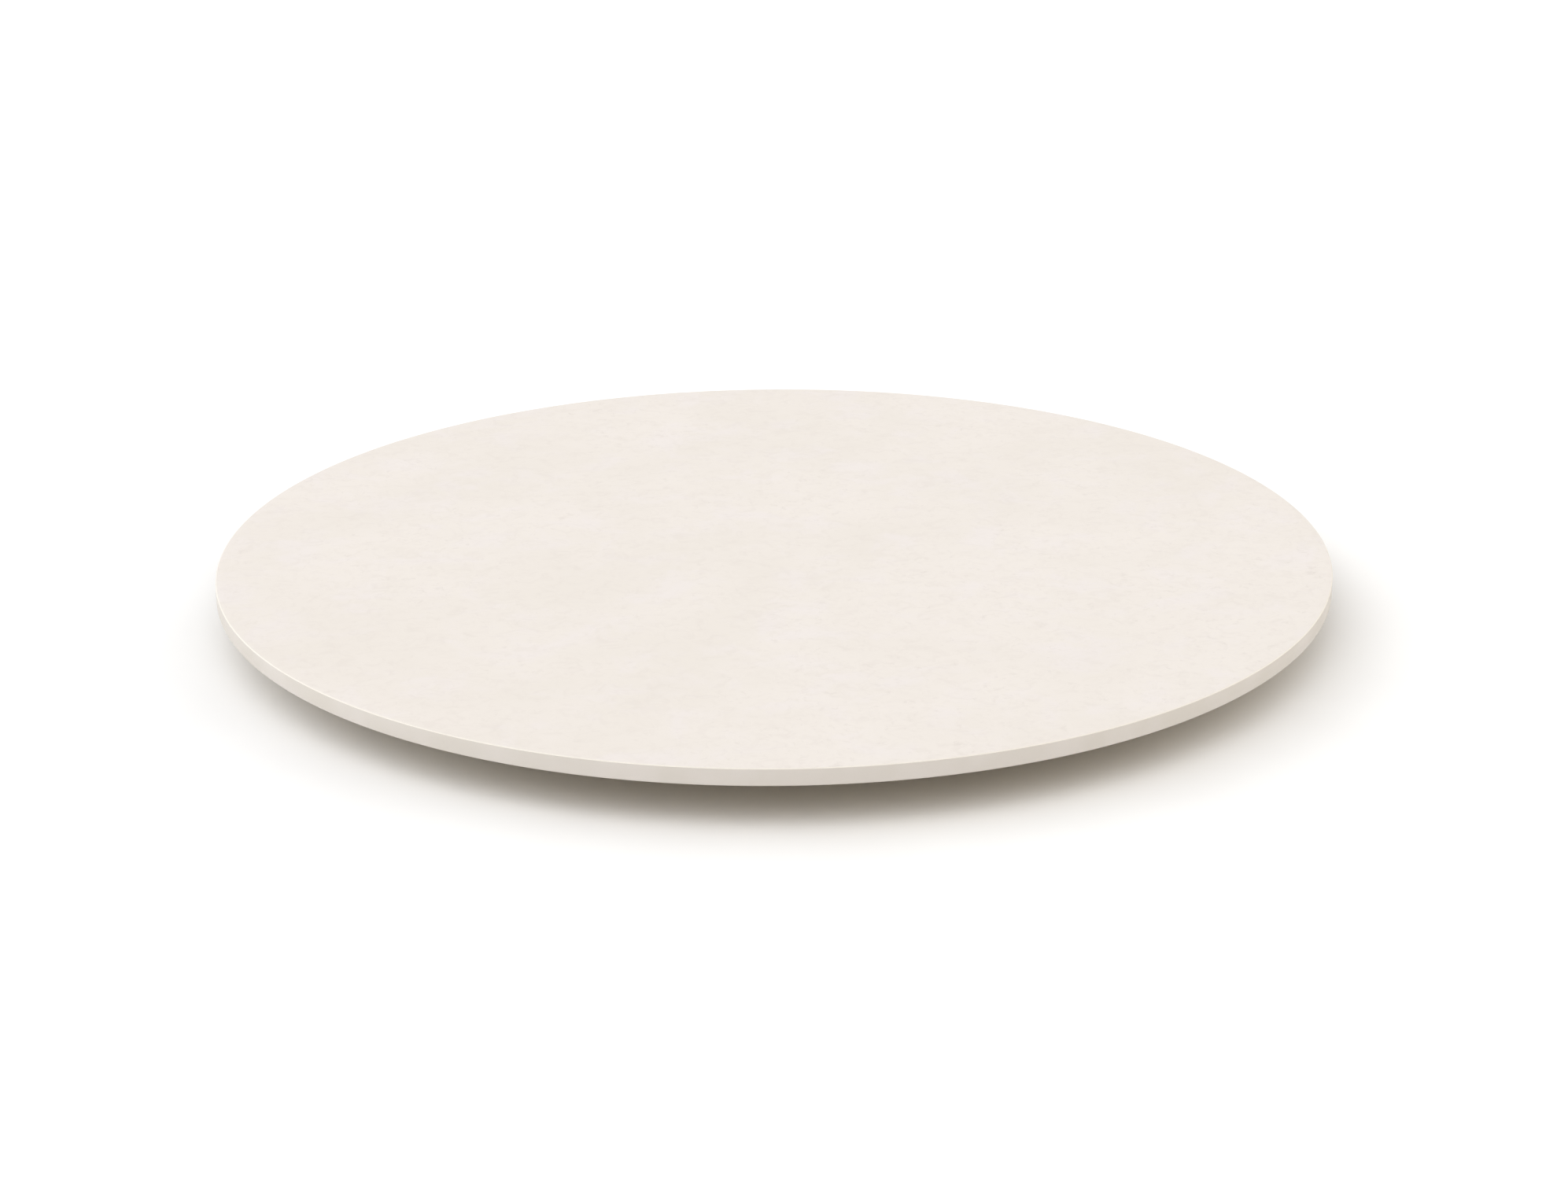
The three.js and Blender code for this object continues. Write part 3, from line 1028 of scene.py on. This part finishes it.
def cage(plastic):
    """The thin ring that spaces the balls, with a round pocket for each."""
    low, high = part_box("ball_cage")
    outer = max(high.x, high.y)
    inner = 2 * Bearing.pitch - outer
    corners = [(inner, low.z), (outer, low.z), (outer, high.z), (inner, high.z)]
    profile = rounded(corners, CAGE_ROUNDING, closed=True)
    strip = turned("ball_spacer", profile, RING_SEGMENTS, closed=True)
    pocket_radius = Bearing.ball_radius + CAGE_CLEARANCE
    pockets = []
    for node in numbered("ball"):
        pocket = rod(pocket_radius, inner - OVERSHOOT, outer + OVERSHOOT)
        pockets.append(lie_along(pocket, angle_of(node), Bearing.ball.z))
    cut(strip, pockets)
    stand_for(strip, "ball_cage", [plastic])


def balls(steel):
    """The balls, all copies of one mesh."""
    master = sphere("ball_mesh", Bearing.ball_radius, BALL_SUBDIVISIONS)
    nodes = numbered("ball")
    copies(master, "steel_ball", nodes, [steel], lambda node: at_node(node, centre_of(node).z))


# ------------------------------------------------------------------ base and feet

def base_board(finish):
    """The base, with its edges rounded over and its screw and driver holes."""
    low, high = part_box("base_disc")
    edge = BASE_EDGE_ROUNDING
    radius = high.x
    profile = flat_face(radius, BASE_RINGS, low.z)
    profile += arc(radius - edge, low.z + edge, edge, -90, 0, steps=6)
    profile += arc(radius - edge, high.z - edge, edge, 0, 90, steps=6)
    profile += flat_face(radius, BASE_RINGS, high.z)[::-1]
    board = turned("base_board", profile, RING_SEGMENTS)
    above = high.z + OVERSHOOT
    below = low.z - OVERSHOOT
    deep = WOOD_GRIP + PILOT_RELIEF
    pilot = WOOD_SCREW["shank"] / 2 + HOLE_CLEARANCE
    cutters = []
    for node in numbered("race_screw"):
        cutters.append(over(node, rod(pilot, high.z - deep, above, PILOT_SEGMENTS)))
    for node in numbered("foot_screw"):
        cutters.append(over(node, rod(pilot, below, low.z + deep, PILOT_SEGMENTS)))
    access = rod(ACCESS_HOLE_DIAMETER / 2, below, above, ACCESS_SEGMENTS)
    cutters.append(over("disc_screw_1", access))
    cut(board, cutters)
    stand_for(board, "base_disc", [finish])


def rubber_foot(height, top_radius):
    """A foot with a rounded, ribbed sole and a recess for its screw, standing on z = 0."""
    bore = WOOD_SCREW["shank"] / 2 + HOLE_CLEARANCE
    seat_z = foot_seat_z()
    recess = size_of("foot_screw_1").x / 2 + RECESS_CLEARANCE
    sole = top_radius - FOOT_TAPER
    rounding = FOOT_TAPER / 2
    seat_bevel = 0.3 * MM
    lip = 0.4 * MM  # the rounding of the recess's mouth
    plain = 1.2 * MM  # from the recess to the first groove
    depth = 0.35 * MM  # of a groove
    grooves = 3
    groove = ((0, 0), (0.15, depth), (0.45, depth), (0.6, 0))  # share of a step, height
    top_bevel_width = 0.2 * MM
    top_bevel_height = 0.3 * MM
    profile = [(bore, seat_z), (recess - seat_bevel, seat_z), (recess, seat_z - seat_bevel)]
    profile += arc(recess + lip, lip, lip, 180, 270, steps=4)
    start = recess + plain
    step = (sole - rounding - start) / grooves
    for i in range(grooves):
        left = start + i * step
        profile += [(left + step * share, z) for share, z in groove]
    profile += arc(sole - rounding, rounding, rounding, -90, -20, steps=5)
    profile += [(top_radius, height - top_bevel_height), (top_radius - top_bevel_width, height)]
    profile.append((bore, height))
    return turned("foot_mesh", profile, FOOT_SEGMENTS, closed=True)


def feet(finish):
    """The feet, all copies of one mesh."""
    nodes = numbered("foot")
    size = size_of(nodes[0])
    master = rubber_foot(size.z, size.x / 2)
    copies(master, "rubber_foot", nodes, [finish], on_bottom)


# ------------------------------------------------------------------ floor, light and camera

def floor():
    """The pale paper that everything stands on."""
    half = FLOOR_SIZE / 2
    corners = [(-half, -half, 0), (half, -half, 0), (half, half, 0), (-half, half, 0)]
    paper = mesh_object("floor", corners, [(0, 1, 2, 3)])
    paper.data.materials.append(floor_paper())


def direction(azimuth, elevation):
    """The unit vector towards a place on the sky dome."""
    turn = math.radians(azimuth)
    rise = math.radians(elevation)
    level = math.cos(rise)
    return Vector((math.sin(turn) * level, -math.cos(turn) * level, math.sin(rise)))


def sky_dome():
    """Soft light from all round, seen by the camera itself as plain white."""
    world = bpy.data.worlds.new("sky_dome")
    world.use_nodes = True
    sky = NodeTree(world.node_tree)
    towards = sky.add("ShaderNodeTexCoord").outputs["Generated"]
    total = DOME_EVEN
    for azimuth, elevation, sharpness, light in DOME_LOBES:
        facing = sky.vector("DOT_PRODUCT", towards, direction(azimuth, elevation)).outputs["Value"]
        lobe = sky.math("POWER", sky.math("MAXIMUM", facing, 0.0), sharpness)
        tinted = sky.vector("SCALE", light).outputs["Vector"]
        sky.links.new(lobe, tinted.node.inputs["Scale"])
        total = sky.vector("ADD", tinted, total).outputs["Vector"]
    seen = sky.add("ShaderNodeLightPath").outputs["Is Camera Ray"]
    background = sky.nodes["Background"]
    sky.links.new(sky.blend(seen, total, WHITE), background.inputs["Color"])
    bpy.context.scene.world = world


def fill_below(pieces):
    """A faint light from under the floor, for these pieces only, so their undersides show."""
    data = bpy.data.lights.new("fill_below", "AREA")
    data.size = FILL_SIZE
    data.energy = FILL_POWER
    light = bpy.data.objects.new("fill_below", data)
    light.location = (0, 0, -FILL_DEPTH)
    light.rotation_euler = (math.pi, 0, 0)
    light.visible_camera = False
    bpy.context.scene.collection.objects.link(light)
    lit = bpy.data.collections.new("lit_from_below")
    for piece in pieces:
        lit.objects.link(piece)
    light.light_linking.receiver_collection = lit
    light.light_linking.blocker_collection = lit


def camera():
    """The photograph's point of view."""
    data = bpy.data.cameras.new("camera")
    data.sensor_width = CAMERA_SENSOR
    data.lens = CAMERA_LENS
    data.clip_end = CAMERA_REACH
    view = bpy.data.objects.new("camera", data)
    elevation = math.radians(CAMERA_ELEVATION)
    back = Vector((0, -math.cos(elevation), math.sin(elevation)))
    roll = Matrix.Rotation(-math.radians(CAMERA_ROLL), 4, "Z")
    aim = back.to_track_quat("Z", "Y").to_matrix().to_4x4()
    view.matrix_world = Matrix.Translation(CAMERA_AIM + back * CAMERA_DISTANCE) @ aim @ roll
    bpy.context.scene.collection.objects.link(view)
    bpy.context.scene.camera = view


# ------------------------------------------------------------------ the whole scene

camera()
sky_dome()
bpy.context.scene.view_settings.view_transform = "Standard"
floor()

zinc_plate = zinc()
race_metal = aluminium()
stone_disc()
fasteners(zinc_plate, brass())
inner_race(race_metal)
outer_race(race_metal)
loading_hole_screw(zinc_plate)
cage(nylon())
balls(ball_steel())
base_board(lacquer())
feet(rubber())
fill_below([piece for piece in bpy.data.objects if piece.name.startswith(UNDERSIDE)])
